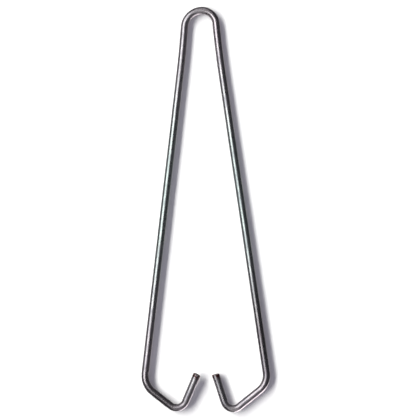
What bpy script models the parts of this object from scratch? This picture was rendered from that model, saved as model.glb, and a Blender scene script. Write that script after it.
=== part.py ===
"""A cable needle bent from one length of round wire, lying flat with its round bow towards +Y.

Units are metres and +Z is up. The origin is the middle of the part's outline, on the surface it lies on.
The wire is laid out the way a wire former makes it: fed straight, bent to a radius, and fed again.
"""

import math

import bpy
from mathutils import Vector

MM = 0.001

# The wire
WIRE_RADIUS = 1.25 * MM
WIRE_SIDES = 24  # flat strips round the wire, one of them facing straight down
END_CHAMFER = 0.15 * MM  # the cut ends are deburred

# Below the bow, the same on both sides
LEG_LEAN = math.radians(7.53)  # between each leg and the part's middle line
SHOULDER_FEED = 0.5 * MM
SHOULDER_RADIUS = 400.0 * MM

# Each side has its own bends, because the wire was bent by hand. Radii are of its centre line.
# The bow closes in by shoulder_turn more than the leg's lean, and the leg opens out again below it.
LEFT_SIDE = {
    "mirror": 1.0,
    "bow_radius": 5.85 * MM,
    "shoulder_turn": math.radians(2.3),
    "leg": 99.65 * MM,
    "knee_radius": 7.1 * MM,
    "knee_turn": math.radians(58.7),
    "foot": 7.2 * MM,
    "corner_radius": 3.3 * MM,
    "corner_turn": math.radians(105.1),
    "hook": 10.0 * MM,
    "tip_lift": 1.0 * MM,  # how far the hook's end stands above the rest of the wire
}
RIGHT_SIDE = {
    "mirror": -1.0,
    "bow_radius": 4.7 * MM,
    "shoulder_turn": math.radians(2.6),
    "leg": 98.85 * MM,
    "knee_radius": 6.8 * MM,
    "knee_turn": math.radians(59.7),
    "foot": 8.3 * MM,
    "corner_radius": 3.2 * MM,
    "corner_turn": math.radians(110.8),
    "hook": 9.7 * MM,
    "tip_lift": 0.0,
}

# How finely the centre line is divided
LONGEST_FEED_STEP = 8.0 * MM
LARGEST_BEND_STEP = math.radians(8.0)


class WireFormer:
    """Follows the wire's centre line in the X-Y plane, starting at the bow's crown and heading for -X."""

    def __init__(self):
        self.place = Vector((0.0, 0.0, 0.0))
        self.heading = math.pi
        self.points = [self.place.copy()]

    def feed(self, length):
        """Pushes out a straight length."""
        steps = math.ceil(length / LONGEST_FEED_STEP)
        step = Vector((math.cos(self.heading), math.sin(self.heading), 0.0)) * (length / steps)
        for _ in range(steps):
            self.place += step
            self.points.append(self.place.copy())

    def bend(self, radius, turn):
        """Bends round a pin; a positive turn is to the left of the heading."""
        steps = math.ceil(abs(turn) / LARGEST_BEND_STEP)
        to_pin = self.heading + math.copysign(math.pi / 2, turn)
        pin = self.place + Vector((math.cos(to_pin), math.sin(to_pin), 0.0)) * radius
        for step in range(1, steps + 1):
            outward = to_pin + math.pi + turn * step / steps
            self.points.append(pin + Vector((math.cos(outward), math.sin(outward), 0.0)) * radius)
        self.place = self.points[-1].copy()
        self.heading += turn


def lift_hook(points, side):
    """Tips the hook up out of the frame's plane: the rise starts along the corner and then runs straight."""
    corner_length = side["corner_radius"] * side["corner_turn"]
    slope = side["tip_lift"] / (side["hook"] + corner_length / 2)
    travelled = 0.0
    for before, after in zip(points, points[1:]):
        travelled += math.hypot(after.x - before.x, after.y - before.y)
        if travelled < corner_length:
            after.z = slope * travelled**2 / (2 * corner_length)
        else:
            after.z = slope * (travelled - corner_length / 2)


def side_points(side):
    """The centre line of one side, from the bow's crown to the tip of its hook."""
    former = WireFormer()
    former.bend(side["bow_radius"], math.pi / 2 - LEG_LEAN + side["shoulder_turn"])
    former.feed(SHOULDER_FEED)
    former.bend(SHOULDER_RADIUS, -side["shoulder_turn"])
    former.feed(side["leg"])
    former.bend(side["knee_radius"], side["knee_turn"])
    former.feed(side["foot"])
    corner_start = len(former.points) - 1
    former.bend(side["corner_radius"], side["corner_turn"])
    former.feed(side["hook"] - END_CHAMFER)
    former.feed(END_CHAMFER)
    lift_hook(former.points[corner_start:], side)
    return [Vector((side["mirror"] * point.x, point.y, point.z)) for point in former.points]


def centre_line():
    """The whole centre line, from the left tip round the bow to the right tip, centred over the origin."""
    points = side_points(LEFT_SIDE)[::-1] + side_points(RIGHT_SIDE)[1:]
    middle_x = (min(point.x for point in points) + max(point.x for point in points)) / 2
    middle_y = (min(point.y for point in points) + max(point.y for point in points)) / 2
    to_origin = Vector((-middle_x, -middle_y, WIRE_RADIUS))
    return [point + to_origin for point in points]


def make_wire(name):
    """A closed round bar along the centre line, with flat, chamfered ends."""
    half_side = math.pi / WIRE_SIDES
    points = centre_line()
    curve = bpy.data.curves.new(name, "CURVE")
    curve.dimensions = "3D"
    curve.twist_mode = "Z_UP"
    curve.bevel_depth = WIRE_RADIUS / math.cos(half_side)
    curve.bevel_resolution = WIRE_SIDES // 2 - 2
    curve.use_fill_caps = True
    spline = curve.splines.new("POLY")
    spline.points.add(len(points) - 1)
    for spline_point, point in zip(spline.points, points):
        spline_point.co = (*point, 1.0)
        spline_point.tilt = half_side
    for end in (spline.points[0], spline.points[-1]):
        end.radius = 1.0 - END_CHAMFER / WIRE_RADIUS
    wire = bpy.data.objects.new(name, curve)
    bpy.context.scene.collection.objects.link(wire)
    return wire


def plated_steel():
    """Bright nickel on drawn steel wire, a little dulled."""
    material = bpy.data.materials.new("plated_steel")
    material.use_nodes = True
    shader = material.node_tree.nodes["Principled BSDF"]
    shader.inputs["Base Color"].default_value = (0.62, 0.61, 0.63, 1.0)
    shader.inputs["Metallic"].default_value = 1.0
    shader.inputs["Roughness"].default_value = 0.28
    return material


def clear_scene():
    for scene_object in list(bpy.data.objects):
        bpy.data.objects.remove(scene_object, do_unlink=True)


clear_scene()
bent_wire = make_wire("bent_wire")
bent_wire.data.materials.append(plated_steel())
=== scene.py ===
"""A cable needle of bent, nickel-plated wire, lying on a pale board and seen from straight above.

Units are metres and +Z is up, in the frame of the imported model. The wire is swept along the same bends as the
model's one solid, which it stands for, and takes the marks that drawing, bending and cutting leave on it.
"""

import math

import bpy
import numpy as np
from mathutils import Matrix, Vector, noise


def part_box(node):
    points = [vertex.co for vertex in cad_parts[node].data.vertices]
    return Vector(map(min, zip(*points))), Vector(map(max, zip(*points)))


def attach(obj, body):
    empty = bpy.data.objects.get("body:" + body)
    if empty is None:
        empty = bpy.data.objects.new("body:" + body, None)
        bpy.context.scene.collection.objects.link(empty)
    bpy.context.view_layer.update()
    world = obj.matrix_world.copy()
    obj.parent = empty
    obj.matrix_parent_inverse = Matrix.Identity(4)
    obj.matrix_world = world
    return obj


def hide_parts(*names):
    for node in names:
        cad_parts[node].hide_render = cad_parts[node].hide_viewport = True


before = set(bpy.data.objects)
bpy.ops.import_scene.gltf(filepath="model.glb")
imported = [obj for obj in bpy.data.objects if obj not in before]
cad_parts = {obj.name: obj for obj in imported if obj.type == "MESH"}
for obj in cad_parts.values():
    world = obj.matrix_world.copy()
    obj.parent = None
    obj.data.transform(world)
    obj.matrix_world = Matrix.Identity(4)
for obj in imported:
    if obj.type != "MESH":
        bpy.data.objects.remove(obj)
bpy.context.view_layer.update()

MM = 0.001
UP = np.array((0.0, 0.0, 1.0))

# The wire and its bends, as the model has them. Radii are of its centre line.
WIRE_RADIUS = 1.25 * MM
LEG_LEAN = math.radians(7.53)
SHOULDER_FEED = 0.5 * MM
SHOULDER_RADIUS = 400.0 * MM
LEFT_SIDE = {
    "bow_radius": 5.85 * MM,
    "shoulder_turn": math.radians(2.3),
    "leg": 99.65 * MM,
    "knee_radius": 7.1 * MM,
    "knee_turn": math.radians(58.7),
    "foot": 7.2 * MM,
    "corner_radius": 3.3 * MM,
    "corner_turn": math.radians(105.1),
    "hook": 10.0 * MM,
    "tip_lift": 1.0 * MM,
}
RIGHT_SIDE = {
    "bow_radius": 4.7 * MM,
    "shoulder_turn": math.radians(2.6),
    "leg": 98.85 * MM,
    "knee_radius": 6.8 * MM,
    "knee_turn": math.radians(59.7),
    "foot": 8.3 * MM,
    "corner_radius": 3.2 * MM,
    "corner_turn": math.radians(110.8),
    "hook": 9.7 * MM,
    "tip_lift": 0.0,
}

# The swept mesh
RING_STEP = 0.35 * MM
RING_SIDES = 56

# What bending does to round wire. A bend's tightness is the wire's radius divided by the bend's.
BEND_RUN_OUT = 1.0 * MM  # a bend fades into the straight over about this length
INNER_FLATTENING = 0.2  # share of the radius lost on the inner side at a tightness of 1
GRIPPED_TIGHTNESS = 0.08  # a bend tighter than this is made round a pin, which leaves marks
GRIP_LENGTH = 1.1 * MM
GRIP_DEPTH = 0.05 * MM
GRIP_STRENGTH = 0.7
GRIP_VARIATION = 0.6
GRIP_NARROWNESS = 6
GRIP_STRIDE = 1.7  # how far apart the marks read their noise
GRIP_SEED = (0.5, 9.1)
WAVINESS = 0.035 * MM
WAVE_LENGTH = 17.0 * MM
WAVE_SEED = (0.0, 3.7)
BENDS_HOLD_TRUE = 12.0  # the waves have died out where the tightness is 1 divided by this
DIRTY_CROOKS = 4.0  # dirt fills the crook of a bend where the tightness is 1 divided by this

# What cutting does to its ends
CUT_LENGTH = 0.3 * MM
CUT_RINGS = 12
LEFT_CUT_SEED = 2.3  # turns the shear's blade, in radians, and picks the torn part's grain
RIGHT_CUT_SEED = 0.7
RIM_RADIUS = 0.14 * MM
SHEAR_SLOPE = 0.05
SHEAR_STEP = 0.06 * MM
TEAR_START = 0.15  # in wire radii from the middle, in the direction of the blade
TEAR_SHARPNESS = 5.0
TORN_GRAIN = 0.35 * MM
TORN_DEPTH = 0.03 * MM
TORN_FRACTAL = (0.6, 2.0, 3)  # its noise's increment, lacunarity and octaves
PINCH_LENGTH = 1.4 * MM
PINCH_DEPTH = 0.045 * MM
PINCH_TURN = 0.5  # how far from upright the shear's jaws pressed, in radians
PINCH_NARROWNESS = 4
HANDLED_LENGTH = 5.0 * MM  # over which the tips are dulled by use
STAINED_LENGTH = 1.3 * MM  # over which the bare steel's rust has crept under the plating

# How its colour drifts along it. Places are distances from the left tip.
TINT_PERIOD = 130.0 * MM
# Painted shade: stretches near the knees are darkened, standing in for the dimmer reflections there.
PAINTED_KNEE_SHADE = (
    {"place": 20.0 * MM, "reach": 16.0 * MM, "depth": 0.42},
    {"place": 266.0 * MM, "reach": 27.0 * MM, "depth": 0.45},
)

# The metal's patterns: how many cells a metre they have along the wire and across it
TINT_CELLS = (70.0, 150.0)
STREAK_CELLS = (90.0, 2600.0)
DIE_LINE_CELLS = (60.0, 16000.0)
PATCH_CELLS = (260.0, 420.0)
PIT_CELLS = (1500.0, 4200.0)
SCRATCH_CELLS = (170.0, 9000.0)
DIRT_CELLS = (900.0, 900.0)
RUST_CELLS = (700.0, 900.0)

# The metal's colours
NICKEL = (0.62, 0.62, 0.62, 1.0)
DULL_NICKEL = (0.46, 0.46, 0.485, 1.0)
STREAK_GREY = (0.36, 0.36, 0.38, 1.0)
SCRATCH_WHITE = (0.74, 0.73, 0.72, 1.0)
PIT_BLACK = (0.10, 0.095, 0.09, 1.0)
DIRT_BROWN = (0.15, 0.13, 0.13, 1.0)
HANDLED_GREY = (0.30, 0.27, 0.28, 1.0)
GREENISH = (0.95, 1.02, 0.985, 1.0)
PINKISH = (1.06, 0.935, 0.985, 1.0)
# Painted shade, darkening the stretches near the knees
PAINTED_SHADE_BLACK = (0.05, 0.045, 0.045, 1.0)
CREPT_BROWN = (0.12, 0.05, 0.05, 1.0)
BARE_STEEL = (0.34, 0.33, 0.33, 1.0)
RUST_BROWN = (0.13, 0.06, 0.05, 1.0)

# What each mark adds to the metal's roughness, and how far it stands up, or is sunk if that is negative
ADDED_ROUGHNESS = {"dirt": 0.25, "cut": 0.22, "crept": 0.2, "pits": 0.25}
RELIEF = {
    "streaks": 0.0025 * MM,
    "die_lines": 0.0012 * MM,
    "scratches": -0.003 * MM,
    "pits": -0.010 * MM,
    "patches": 0.006 * MM,
}
RUST_COVER = 0.6  # share of the metal's look that rust takes away on the cut faces

# The board under the wire. Its patterns have so many cells a metre along X, Y and Z.
BOARD_HALF = 2.5
BOARD_FALL = 0.4 * MM  # how much lower it lies at the hooks than at the bow
FIBRE_CELLS = (900.0, 2200.0, 900.0)
CLOUD_CELLS = (28.0, 28.0, 28.0)
FIBRE_DARK = (0.835, 0.835, 0.84, 1.0)
FIBRE_LIGHT = (0.875, 0.875, 0.872, 1.0)
CLOUD_GREY = (0.83, 0.83, 0.845, 1.0)
FIBRE_RELIEF = 0.01 * MM

# The picture
VIEW_WIDTH = 140.1 * MM
VIEW_SHIFT = (2.27 * MM, -0.12 * MM)  # from the middle of the part to the middle of the picture
VIEW_ROLL = math.radians(-0.887)
LENS = 200.0  # in millimetres, like the sensor's width
SENSOR = 36.0
NEAREST_SEEN = 10.0 * MM
BACKGROUND = (1.0, 1.0, 1.0, 1.0)  # past the board's edges

# What lights the board. Azimuths are from +X towards +Y, and like elevations they are in degrees.
BOARD_FILL = (0.278, 0.268, 0.322, 1.0)
KEY_AZIMUTH = 156.0
KEY_ELEVATION = 38.2
KEY_DISTANCE = 8.0
KEY_SIZE = (2.6, 12.0)
KEY_RADIANCE = (17.5, 17.5, 16.8)

# What the metal reflects: a dim room over a lit board, one large lamp above on the left, and pale cards, of
# which some are below the board. The metal doesn't see the board that the camera sees.
ROOM = (0.036, 0.04, 0.043, 1.0)
LIT_BOARD = (0.7, 0.7, 0.7, 1.0)
BOARD_DIPS = (-0.6, -0.95)  # Z of a reflected ray that starts to meet the lit board, and that meets it fully
LAMP_HEIGHT = 0.6
LAMP_EDGES = (-1.1, -0.02, -0.09, 1.6)  # left, right, near and far, in units of its height
LAMP_TURN = 25.0
LAMP_RADIANCE = (2.05, 2.15, 2.13)
CARD_DISTANCE = 1.0
CARDS = {
    "low_right_card": {
        "azimuth": -60.0,
        "elevation": -35.0,
        "size": (0.68, 1.25),
        "radiance": (2.3, 2.25, 2.27),
    },
    "low_left_card": {
        "azimuth": 180.0,
        "elevation": -45.0,
        "size": (2.4, 1.2),
        "radiance": (0.3, 0.3, 0.3),
    },
    "near_card": {
        "azimuth": 270.0,
        "elevation": 43.0,
        "size": (0.7, 1.2),
        "radiance": (0.38, 0.38, 0.38),
    },
    "far_card": {
        "azimuth": 90.0,
        "elevation": 43.0,
        "size": (0.7, 1.2),
        "radiance": (0.38, 0.38, 0.38),
    },
}


class WireFormer:
    """Follows one side of the wire in the X-Y plane, starting at the bow's crown and heading for -X."""

    def __init__(self):
        self.place = Vector((0.0, 0.0, 0.0))
        self.heading = math.pi
        self.points = [self.place.copy()]

    def feed(self, length):
        """Pushes out a straight length."""
        steps = math.ceil(length / RING_STEP)
        step = Vector((math.cos(self.heading), math.sin(self.heading), 0.0)) * (length / steps)
        for _ in range(steps):
            self.place += step
            self.points.append(self.place.copy())

    def bend(self, radius, turn):
        """Bends round a pin; a positive turn is to the left of the heading."""
        steps = math.ceil(radius * abs(turn) / RING_STEP)
        to_pin = self.heading + math.copysign(math.pi / 2, turn)
        pin = self.place + Vector((math.cos(to_pin), math.sin(to_pin), 0.0)) * radius
        for step in range(1, steps + 1):
            outward = to_pin + math.pi + turn * step / steps
            self.points.append(pin + Vector((math.cos(outward), math.sin(outward), 0.0)) * radius)
        self.place = self.points[-1].copy()
        self.heading += turn


def lift_hook(points, side):
    """Tips the hook up out of the frame's plane: the rise starts along the corner and then runs straight."""
    corner_length = side["corner_radius"] * side["corner_turn"]
    slope = side["tip_lift"] / (side["hook"] + corner_length / 2)
    steps = np.linalg.norm(np.diff(points, axis=0), axis=1)
    travelled = np.concatenate(([0.0], np.cumsum(steps)))
    on_corner = slope * travelled**2 / (2 * corner_length)
    on_hook = slope * (travelled - corner_length / 2)
    points[:, 2] = np.where(travelled < corner_length, on_corner, on_hook)


def side_points(side):
    """One side's centre line, from the bow's crown to the start of its cut end."""
    former = WireFormer()
    former.bend(side["bow_radius"], math.pi / 2 - LEG_LEAN + side["shoulder_turn"])
    former.feed(SHOULDER_FEED)
    former.bend(SHOULDER_RADIUS, -side["shoulder_turn"])
    former.feed(side["leg"])
    former.bend(side["knee_radius"], side["knee_turn"])
    former.feed(side["foot"])
    corner_start = len(former.points) - 1
    former.bend(side["corner_radius"], side["corner_turn"])
    former.feed(side["hook"] - CUT_LENGTH)
    points = np.array(former.points)
    lift_hook(points[corner_start:], side)
    return points


def centre_line():
    """The whole centre line from the left tip round the bow to the right tip, placed on the model's box."""
    left = side_points(LEFT_SIDE)
    right = side_points(RIGHT_SIDE) * (-1.0, 1.0, 1.0)
    points = np.concatenate((left[::-1], right[1:]))
    low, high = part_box("bent_wire")
    middle = (points[:, :2].min(axis=0) + points[:, :2].max(axis=0)) / 2
    points[:, 0] += (low[0] + high[0]) / 2 - middle[0]
    points[:, 1] += (low[1] + high[1]) / 2 - middle[1]
    points[:, 2] += low[2] + WIRE_RADIUS
    return points


def unit(vectors):
    return vectors / np.linalg.norm(vectors, axis=-1, keepdims=True)


def smooth_bump(distance, half_length):
    """1 at no distance, falling to 0 at half_length."""
    nearness = np.clip(1.0 - np.abs(distance) / half_length, 0.0, 1.0)
    return nearness**2 * (3.0 - 2.0 * nearness)


class SweptWire:
    """The wire as rings of points round its centre line, from the left tip to the right tip.

    Angles round a ring start at the inner side of the bends and go up from there. The inner side is to the
    right all along, because that is the way the wire turns at every tight bend.
    """

    def __init__(self):
        points = centre_line()
        self.run = np.concatenate(([0.0], np.cumsum(np.linalg.norm(np.diff(points, axis=0), axis=1))))
        self.length = self.run[-1]
        self.along = unit(np.gradient(points, self.run, axis=0))
        self.inward = unit(np.cross(self.along, UP))
        self.upward = np.cross(self.inward, self.along)
        self.tightness = self.bend_tightness()
        self.centres = points + self.inward * self.waviness()[:, None]
        self.angles = np.linspace(0.0, 2 * math.pi, RING_SIDES, endpoint=False)

    def bend_tightness(self):
        """The wire's radius divided by the bend's, smoothed because a bend fades into the straight."""
        heading = np.unwrap(np.arctan2(self.along[:, 1], self.along[:, 0]))
        curvature = np.abs(np.gradient(heading, self.run))
        fade = np.hanning(2 * int(BEND_RUN_OUT / RING_STEP) + 1)
        return WIRE_RADIUS * np.convolve(curvature, fade / fade.sum(), mode="same")

    def waviness(self):
        """Straightened wire is never quite straight. It is dead true where the bends set the part's size."""
        wave = [noise.noise(Vector((distance / WAVE_LENGTH, *WAVE_SEED))) for distance in self.run]
        return WAVINESS * np.array(wave) * np.clip(1.0 - BENDS_HOLD_TRUE * self.tightness, 0.0, 1.0)

    def from_ends(self):
        return np.minimum(self.run, self.length - self.run)

    def grip_marks(self):
        """Where the bending pins pressed: just before and after each tight bend, on its outer side."""
        bending = self.tightness > GRIPPED_TIGHTNESS
        edges = np.flatnonzero(np.diff(bending.astype(int)) != 0)
        marks = np.zeros_like(self.run)
        for number, edge in enumerate(edges):
            chance = noise.noise(Vector((GRIP_STRIDE * number, *GRIP_SEED)))
            strength = GRIP_STRENGTH + GRIP_VARIATION * chance
            marks = np.maximum(marks, strength * smooth_bump(self.run - self.run[edge], GRIP_LENGTH))
        return marks

    def radii(self):
        """How far the surface is from the centre line, for each ring and each angle."""
        inner = np.clip(np.cos(self.angles), 0.0, 1.0)
        outer = np.clip(-np.cos(self.angles), 0.0, 1.0)
        flattened = WIRE_RADIUS * INNER_FLATTENING * self.tightness[:, None] * inner**2
        gripped = GRIP_DEPTH * self.grip_marks()[:, None] * outer**GRIP_NARROWNESS
        pinch = smooth_bump(self.from_ends(), PINCH_LENGTH)
        jaws = np.abs(np.sin(self.angles + PINCH_TURN)) ** PINCH_NARROWNESS
        pinched = PINCH_DEPTH * pinch[:, None] * jaws
        return WIRE_RADIUS - flattened - gripped - pinched

    def rings(self):
        radii = self.radii()
        across = (radii * np.cos(self.angles))[:, :, None] * self.inward[:, None, :]
        upright = (radii * np.sin(self.angles))[:, :, None] * self.upward[:, None, :]
        return self.centres[:, None, :] + across + upright

    def ring_space(self):
        """Distance along the wire and place across it: unlike X, Y and Z, they follow the bends."""
        shape = (len(self.run), RING_SIDES)
        run = np.broadcast_to(self.run[:, None], shape)
        across = np.broadcast_to(WIRE_RADIUS * np.cos(self.angles), shape)
        upright = np.broadcast_to(WIRE_RADIUS * np.sin(self.angles), shape)
        return np.stack((run, across, upright), axis=-1)

    def tint(self):
        """The plating's tint, from 0, greenish, to 1, pinkish, as it is at the bow's crown."""
        from_crown = self.run - self.length / 2
        return 0.5 + 0.5 * np.cos(2 * math.pi * from_crown / TINT_PERIOD)

    def knee_shade(self):
        """How much the painted shade darkens the stretches near the knees, where it stands in for their dimmer
        reflections.
        """
        knee_shade = np.zeros_like(self.run)
        for knee in PAINTED_KNEE_SHADE:
            nearness = smooth_bump(self.run - knee["place"], knee["reach"])
            knee_shade = np.maximum(knee_shade, knee["depth"] * nearness)
        return knee_shade

    def crook(self):
        """How much each point is in the crook of a bend, where dirt stays."""
        inner = np.clip(np.cos(self.angles), 0.0, 1.0)
        return np.clip(DIRTY_CROOKS * self.tightness, 0.0, 1.0)[:, None] * inner

    def near_ends(self, length):
        """1 at both ends, fading along the wire over a length."""
        return np.exp(-self.from_ends() / length)


def cut_setback(across, upright, seed):
    """How far back from the wire's full length its cut face is, across the face.

    A shear leaves a rounded rim, a smooth burnished part, and a lower rough part where the steel tore.
    """
    reach = math.hypot(across, upright)
    over_rim = max(0.0, reach - (WIRE_RADIUS - RIM_RADIUS))
    rounding = RIM_RADIUS - math.sqrt(max(0.0, RIM_RADIUS**2 - over_rim**2))
    along_blade = (across * math.cos(seed) + upright * math.sin(seed)) / WIRE_RADIUS
    torn = min(1.0, max(0.0, 0.5 + TEAR_SHARPNESS * (along_blade - TEAR_START)))
    grain = 0.5 + noise.fractal(Vector((across, upright, seed)) / TORN_GRAIN, *TORN_FRACTAL)
    slope = SHEAR_SLOPE * WIRE_RADIUS * (1.0 + along_blade)
    return rounding + slope + torn * (SHEAR_STEP * torn + TORN_DEPTH * grain)


def cut_rings(wire, ring, outward, seed):
    """One cut end's rings, from the rim to the middle, and their places in the wire's own space."""
    inward = wire.inward[ring]
    upward = wire.upward[ring]
    end = wire.centres[ring] + outward * CUT_LENGTH
    rim_radii = wire.radii()[ring]
    rings = []
    spaces = []
    for share in np.sin(np.linspace(math.pi / 2, 0.0, CUT_RINGS + 1)):
        points = []
        space = []
        for angle, radius in zip(wire.angles, rim_radii):
            across = share * radius * math.cos(angle)
            upright = share * radius * math.sin(angle)
            setback = cut_setback(across, upright, seed)
            points.append(end + across * inward + upright * upward - setback * outward)
            space.append((wire.run[ring] + CUT_LENGTH, across, upright))
        rings.append(points)
        spaces.append(space)
    return np.array(rings), np.array(spaces)


def closed_tube(left, middle, right):
    """The points of a closed tube: its rings, and at the end the left pole and the right pole.

    A cut end's last ring has shrunk to one point, which is its pole.
    """
    rings = np.concatenate((left[:-1][::-1], middle, right[:-1]))
    return np.concatenate((rings.reshape(-1, 3), left[-1][:1], right[-1][:1]))


def tube_faces(ring_count):
    """Four-sided faces between neighbouring rings, and a fan of triangles from each pole to its end ring."""
    faces = []
    for ring in range(ring_count - 1):
        here = ring * RING_SIDES
        there = here + RING_SIDES
        for side in range(RING_SIDES):
            after = (side + 1) % RING_SIDES
            faces.append((here + side, here + after, there + after, there + side))
    last = (ring_count - 1) * RING_SIDES
    left_pole = ring_count * RING_SIDES
    right_pole = left_pole + 1
    for side in range(RING_SIDES):
        after = (side + 1) % RING_SIDES
        faces.append((left_pole, after, side))
        faces.append((right_pole, last + side, last + after))
    return faces


def add_attribute(mesh, name, values, kind):
    attribute = mesh.attributes.new(name, kind, "POINT")
    field = "vector" if kind == "FLOAT_VECTOR" else "value"
    attribute.data.foreach_set(field, np.ascontiguousarray(values, dtype=np.float32).ravel())


def mark_wire(mesh, wire):
    """Tells the material where the wire bends and ends, and where painted shade darkens it near the knees. A
    mark has one value all over the cuts.
    """
    marks = {
        "crook": (wire.crook(), 0.0),
        "cut": (0.0, 1.0),
        "tint": (wire.tint()[:, None], wire.tint()[0]),
        "knee_shade": (wire.knee_shade()[:, None], 0.0),
        "tip_wear": (wire.near_ends(HANDLED_LENGTH)[:, None], 1.0),
        "stain": (wire.near_ends(STAINED_LENGTH)[:, None], 1.0),
    }
    for name, (between, on_cuts) in marks.items():
        values = np.full((len(wire.run) + 2 * CUT_RINGS, RING_SIDES), float(on_cuts))
        values[CUT_RINGS:-CUT_RINGS] = between
        at_poles = (on_cuts, on_cuts)
        add_attribute(mesh, name, np.concatenate((values.ravel(), at_poles)), "FLOAT")


def make_wire(name):
    wire = SweptWire()
    left_rings, left_space = cut_rings(wire, 0, -wire.along[0], LEFT_CUT_SEED)
    right_rings, right_space = cut_rings(wire, -1, wire.along[-1], RIGHT_CUT_SEED)
    points = closed_tube(left_rings, wire.rings(), right_rings)
    space = closed_tube(left_space, wire.ring_space(), right_space)

    mesh = bpy.data.meshes.new(name)
    mesh.from_pydata(points.tolist(), [], tube_faces(len(wire.run) + 2 * CUT_RINGS))
    mesh.validate()
    mesh.shade_smooth()
    add_attribute(mesh, "wire_space", space, "FLOAT_VECTOR")
    mark_wire(mesh, wire)
    piece = bpy.data.objects.new(name, mesh)
    bpy.context.scene.collection.objects.link(piece)
    return piece


class Graph:
    """The nodes of a material or a world. An input is given a socket, which is linked, or a plain value."""

    def __init__(self, owner):
        owner.use_nodes = True
        self.owner = owner
        self.tree = owner.node_tree

    def put(self, node, name, value):
        if isinstance(value, bpy.types.NodeSocket):
            self.tree.links.new(value, node.inputs[name])
        else:
            node.inputs[name].default_value = value

    def add(self, kind, inputs, output=0, **settings):
        node = self.tree.nodes.new("ShaderNode" + kind)
        for setting, value in settings.items():
            setattr(node, setting, value)
        for name, value in inputs.items():
            self.put(node, name, value)
        return node.outputs[output]

    def attribute(self, name, output="Fac"):
        return self.add("Attribute", {}, output, attribute_name=name)

    def noise(self, place, cells, detail=3.0, roughness=0.55):
        """Noise with so many cells a metre in each direction."""
        scaled = self.add("VectorMath", {0: place, 1: cells}, operation="MULTIPLY")
        inputs = {"Vector": scaled, "Scale": 1.0, "Detail": detail, "Roughness": roughness}
        return self.add("TexNoise", inputs, "Fac")

    def span(self, value, low, high, to_low=0.0, to_high=1.0):
        """Maps low..high to to_low..to_high and holds the ends."""
        inputs = {"Value": value, "From Min": low, "From Max": high, "To Min": to_low, "To Max": to_high}
        return self.add("MapRange", inputs, "Result")

    def plus(self, first, second):
        return self.add("Math", {0: first, 1: second}, operation="ADD")

    def times(self, first, second):
        return self.add("Math", {0: first, 1: second}, operation="MULTIPLY")

    def mix(self, factor, first, second, blend="MIX"):
        """Mixes two colours. A Mix node has sockets for every kind of data, and these are the colours'."""
        inputs = {0: factor, 6: first, 7: second}
        return self.add("Mix", inputs, 2, data_type="RGBA", blend_type=blend)

    def cover(self, colour, cover, mark, strength=1.0):
        """Covers a colour with another one where a mark is."""
        return self.mix(self.times(mark, strength), colour, cover)

    def bump(self, height, distance, normal=None):
        inputs = {"Height": height, "Distance": distance, "Strength": 1.0}
        if normal is not None:
            inputs["Normal"] = normal
        return self.add("Bump", inputs, "Normal")

    def finish(self, shader, inputs):
        for name, value in inputs.items():
            self.put(self.tree.nodes[shader], name, value)
        return self.owner


def wire_marks(graph):
    """The noise on the wire, and the strength of each mark from 0 to 1."""
    place = graph.attribute("wire_space", "Vector")

    def pattern(cells, detail=3.0, roughness=0.55):
        along, across = cells
        return graph.noise(place, (along, across, across), detail, roughness)

    breakup = pattern(DIRT_CELLS, detail=4.0)
    rust = graph.span(pattern(RUST_CELLS, detail=4.0), low=0.42, high=0.62)
    in_crooks = graph.span(breakup, low=0.35, high=0.70)
    on_tips = graph.span(breakup, low=0.45, high=0.62)
    near_cuts = graph.span(graph.attribute("stain"), low=0.1, high=0.6)
    return {
        "streaks": pattern(STREAK_CELLS),
        "die_lines": pattern(DIE_LINE_CELLS, detail=2.0),
        "patches": pattern(PATCH_CELLS, detail=4.0, roughness=0.6),
        "pits": graph.span(pattern(PIT_CELLS), low=0.68, high=0.74),
        "scratches": graph.span(pattern(SCRATCH_CELLS, detail=2.0), low=0.63, high=0.70),
        "tint_breakup": pattern(TINT_CELLS, detail=2.0),
        "breakup": breakup,
        "rust": rust,
        "dirt": graph.times(graph.attribute("crook"), in_crooks),
        "handled": graph.times(graph.attribute("tip_wear"), on_tips),
        "crept": graph.times(near_cuts, graph.span(rust, low=0.0, high=0.5)),
        "cut": graph.attribute("cut"),
    }


def wire_colour(graph, marks):
    """The plating, what lies on it from the bottom up, painted shade near the knees among it, and last the bare
    steel of the cut ends.
    """
    dull = graph.span(marks["patches"], low=0.40, high=0.66)
    streaked = graph.span(marks["streaks"], low=0.35, high=0.70, to_high=0.35)
    colour = graph.cover(NICKEL, DULL_NICKEL, dull)
    colour = graph.cover(colour, STREAK_GREY, streaked)
    colour = graph.cover(colour, SCRATCH_WHITE, marks["scratches"], strength=0.6)
    colour = graph.cover(colour, PIT_BLACK, marks["pits"], strength=0.75)
    colour = graph.cover(colour, DIRT_BROWN, marks["dirt"], strength=0.55)
    colour = graph.cover(colour, HANDLED_GREY, marks["handled"], strength=0.5)

    drift = graph.span(marks["tint_breakup"], low=0.3, high=0.7, to_low=-0.15, to_high=0.15)
    cast = graph.mix(graph.plus(graph.attribute("tint"), drift), GREENISH, PINKISH)
    colour = graph.mix(1.0, colour, cast, "MULTIPLY")

    uneven = graph.span(marks["breakup"], low=0.3, high=0.7, to_low=0.8, to_high=1.2)
    # Painted shade near the knees, for their dimmer reflections
    colour = graph.cover(colour, PAINTED_SHADE_BLACK, graph.times(graph.attribute("knee_shade"), uneven))
    colour = graph.cover(colour, CREPT_BROWN, marks["crept"])
    bare = graph.cover(BARE_STEEL, RUST_BROWN, marks["rust"])
    return graph.cover(colour, bare, marks["cut"])


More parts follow.
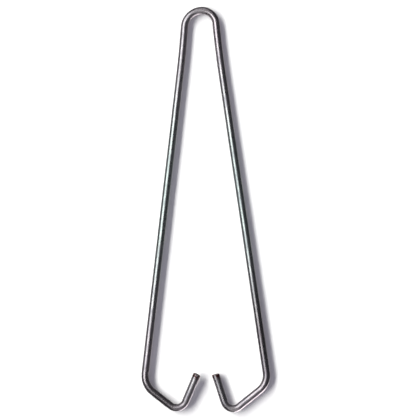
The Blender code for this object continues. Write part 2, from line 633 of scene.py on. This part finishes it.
def wire_roughness(graph, marks):
    """Satin plating, uneven in its patches and streaks, and rougher at dirt, rust, pits and cuts."""
    patched = graph.span(marks["patches"], low=0.35, high=0.70, to_low=0.22, to_high=0.36)
    streaked = graph.span(marks["streaks"], low=0.30, high=0.70, to_low=-0.03, to_high=0.06)
    roughness = graph.plus(patched, streaked)
    for mark, added in ADDED_ROUGHNESS.items():
        roughness = graph.plus(roughness, graph.times(marks[mark], added))
    return roughness


def wire_relief(graph, marks):
    """The surface's tilt, from the height of each mark."""
    normal = None
    for mark, height in RELIEF.items():
        raised = graph.times(marks[mark], math.copysign(1.0, height))
        normal = graph.bump(raised, abs(height), normal)
    return normal


def plated_steel():
    """Satin nickel on drawn steel, with die lines, dull patches, pits, dirt in the bends and bare cuts."""
    graph = Graph(bpy.data.materials.new("plated_steel_wire"))
    marks = wire_marks(graph)
    rusted = graph.times(graph.times(marks["cut"], marks["rust"]), RUST_COVER)
    inputs = {
        "Base Color": wire_colour(graph, marks),
        "Metallic": graph.plus(1.0, graph.times(rusted, -1.0)),
        "Roughness": wire_roughness(graph, marks),
        "Normal": wire_relief(graph, marks),
    }
    return graph.finish("Principled BSDF", inputs)


def pale_board():
    """Uncoated white card, with faint fibres and fainter clouds."""
    graph = Graph(bpy.data.materials.new("pale_board"))
    place = graph.add("TexCoord", {}, "Object")
    fibres = graph.noise(place, FIBRE_CELLS, detail=5.0, roughness=0.65)
    clouds = graph.span(graph.noise(place, CLOUD_CELLS, detail=2.0), low=0.4, high=0.7, to_high=0.3)
    inputs = {
        "Base Color": graph.mix(clouds, graph.mix(fibres, FIBRE_DARK, FIBRE_LIGHT), CLOUD_GREY),
        "Roughness": graph.span(fibres, low=0.3, high=0.7, to_low=0.75, to_high=0.9),
        "Normal": graph.bump(fibres, FIBRE_RELIEF),
    }
    return graph.finish("Principled BSDF", inputs)


def make_floor():
    """The board. It touches the wire at the bow and falls away a little towards the hooks."""
    low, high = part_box("bent_wire")
    slope = BOARD_FALL / (high[1] - low[1])
    crown = high[1] - WIRE_RADIUS
    corners = []
    for x, y in ((-1.0, -1.0), (1.0, -1.0), (1.0, 1.0), (-1.0, 1.0)):
        from_crown = BOARD_HALF * y - crown
        corners.append((BOARD_HALF * x, BOARD_HALF * y, low[2] + slope * from_crown))
    mesh = bpy.data.meshes.new("floor")
    mesh.from_pydata(corners, [], [(0, 1, 2, 3)])
    mesh.materials.append(pale_board())
    floor = bpy.data.objects.new("floor", mesh)
    bpy.context.scene.collection.objects.link(floor)
    floor.visible_glossy = False
    floor.visible_shadow = False
    return floor


def direction(azimuth, elevation):
    """A unit vector, from angles in degrees."""
    around = math.radians(azimuth)
    above = math.radians(elevation)
    return Vector((math.cos(above) * math.cos(around), math.cos(above) * math.sin(around), math.sin(above)))


def add_card(name, place, toward, along, size, radiance, seen_by_metal):
    """A glowing rectangle with its second side as near to a direction as it can be.

    It lights either the metal or the board. A matt glowing surface gives off pi watts a square metre for each
    unit of its radiance.
    """
    light = bpy.data.lights.new(name, "AREA")
    light.shape = "RECTANGLE"
    light.size, light.size_y = size
    light.energy = max(radiance) * math.pi * light.size * light.size_y
    light.color = [share / max(radiance) for share in radiance]
    card = bpy.data.objects.new(name, light)
    bpy.context.scene.collection.objects.link(card)
    back = -Vector(toward).normalized()
    side = Vector(along).cross(back).normalized()
    turned = Matrix((side, back.cross(side), back)).transposed()
    card.matrix_world = Matrix.Translation(place) @ turned.to_4x4()
    card.visible_camera = False
    card.visible_glossy = seen_by_metal
    card.visible_diffuse = not seen_by_metal


def add_key():
    """The light that throws the shadows, far off on the left."""
    place = KEY_DISTANCE * direction(KEY_AZIMUTH, KEY_ELEVATION)
    add_card("key", place, -place, (0.0, 1.0, 0.0), KEY_SIZE, KEY_RADIANCE, seen_by_metal=False)


def add_lamp():
    """The lamp overhead, which the metal reflects as the long highlight."""
    left, right, near, far = (edge * LAMP_HEIGHT for edge in LAMP_EDGES)
    across = direction(LAMP_TURN, 0.0)
    along = direction(LAMP_TURN + 90.0, 0.0)
    place = across * (left + right) / 2 + along * (near + far) / 2 + Vector((0.0, 0.0, LAMP_HEIGHT))
    size = (right - left, far - near)
    add_card("lamp", place, (0.0, 0.0, -1.0), along, size, LAMP_RADIANCE, seen_by_metal=True)


def add_pale_cards():
    """Cards round the wire, for the highlights on its flanks."""
    for name, card in CARDS.items():
        place = CARD_DISTANCE * direction(card["azimuth"], card["elevation"])
        add_card(name, place, -place, (0.0, 0.0, 1.0), card["size"], card["radiance"], seen_by_metal=True)


def set_surroundings():
    """White to the camera, an even fill to the matt board, and to the metal a dim room over a lit board."""
    graph = Graph(bpy.data.worlds.new("studio"))
    path = graph.tree.nodes.new("ShaderNodeLightPath")
    ray = graph.add("TexCoord", {}, "Generated")
    steepness = graph.add("SeparateXYZ", {"Vector": ray}, "Z")
    reflected = graph.mix(graph.span(steepness, *BOARD_DIPS), ROOM, LIT_BOARD)
    indirect = graph.mix(path.outputs["Is Glossy Ray"], BOARD_FILL, reflected)
    seen = graph.mix(path.outputs["Is Camera Ray"], indirect, BACKGROUND)
    bpy.context.scene.world = graph.finish("Background", {"Color": seen})


def add_camera():
    """Straight above the wire, far off, and turned a little."""
    low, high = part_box("bent_wire")
    middle_x = (low[0] + high[0]) / 2 + VIEW_SHIFT[0]
    middle_y = (low[1] + high[1]) / 2 + VIEW_SHIFT[1]
    distance = VIEW_WIDTH * LENS / SENSOR
    camera = bpy.data.objects.new("camera", bpy.data.cameras.new("camera"))
    camera.data.lens = LENS
    camera.data.sensor_width = SENSOR
    camera.data.clip_start = NEAREST_SEEN
    camera.location = (middle_x, middle_y, low[2] + WIRE_RADIUS + distance)
    camera.rotation_euler = (0.0, 0.0, VIEW_ROLL)
    bpy.context.scene.collection.objects.link(camera)
    bpy.context.scene.camera = camera


bpy.context.scene.view_settings.view_transform = "Standard"
add_camera()
floor = make_floor()
set_surroundings()
add_key()
add_lamp()
add_pale_cards()

bent_wire = make_wire("bent_wire_plated")
bent_wire.data.materials.append(plated_steel())
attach(bent_wire, "root")
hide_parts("bent_wire")

bpy.context.view_layer.update()
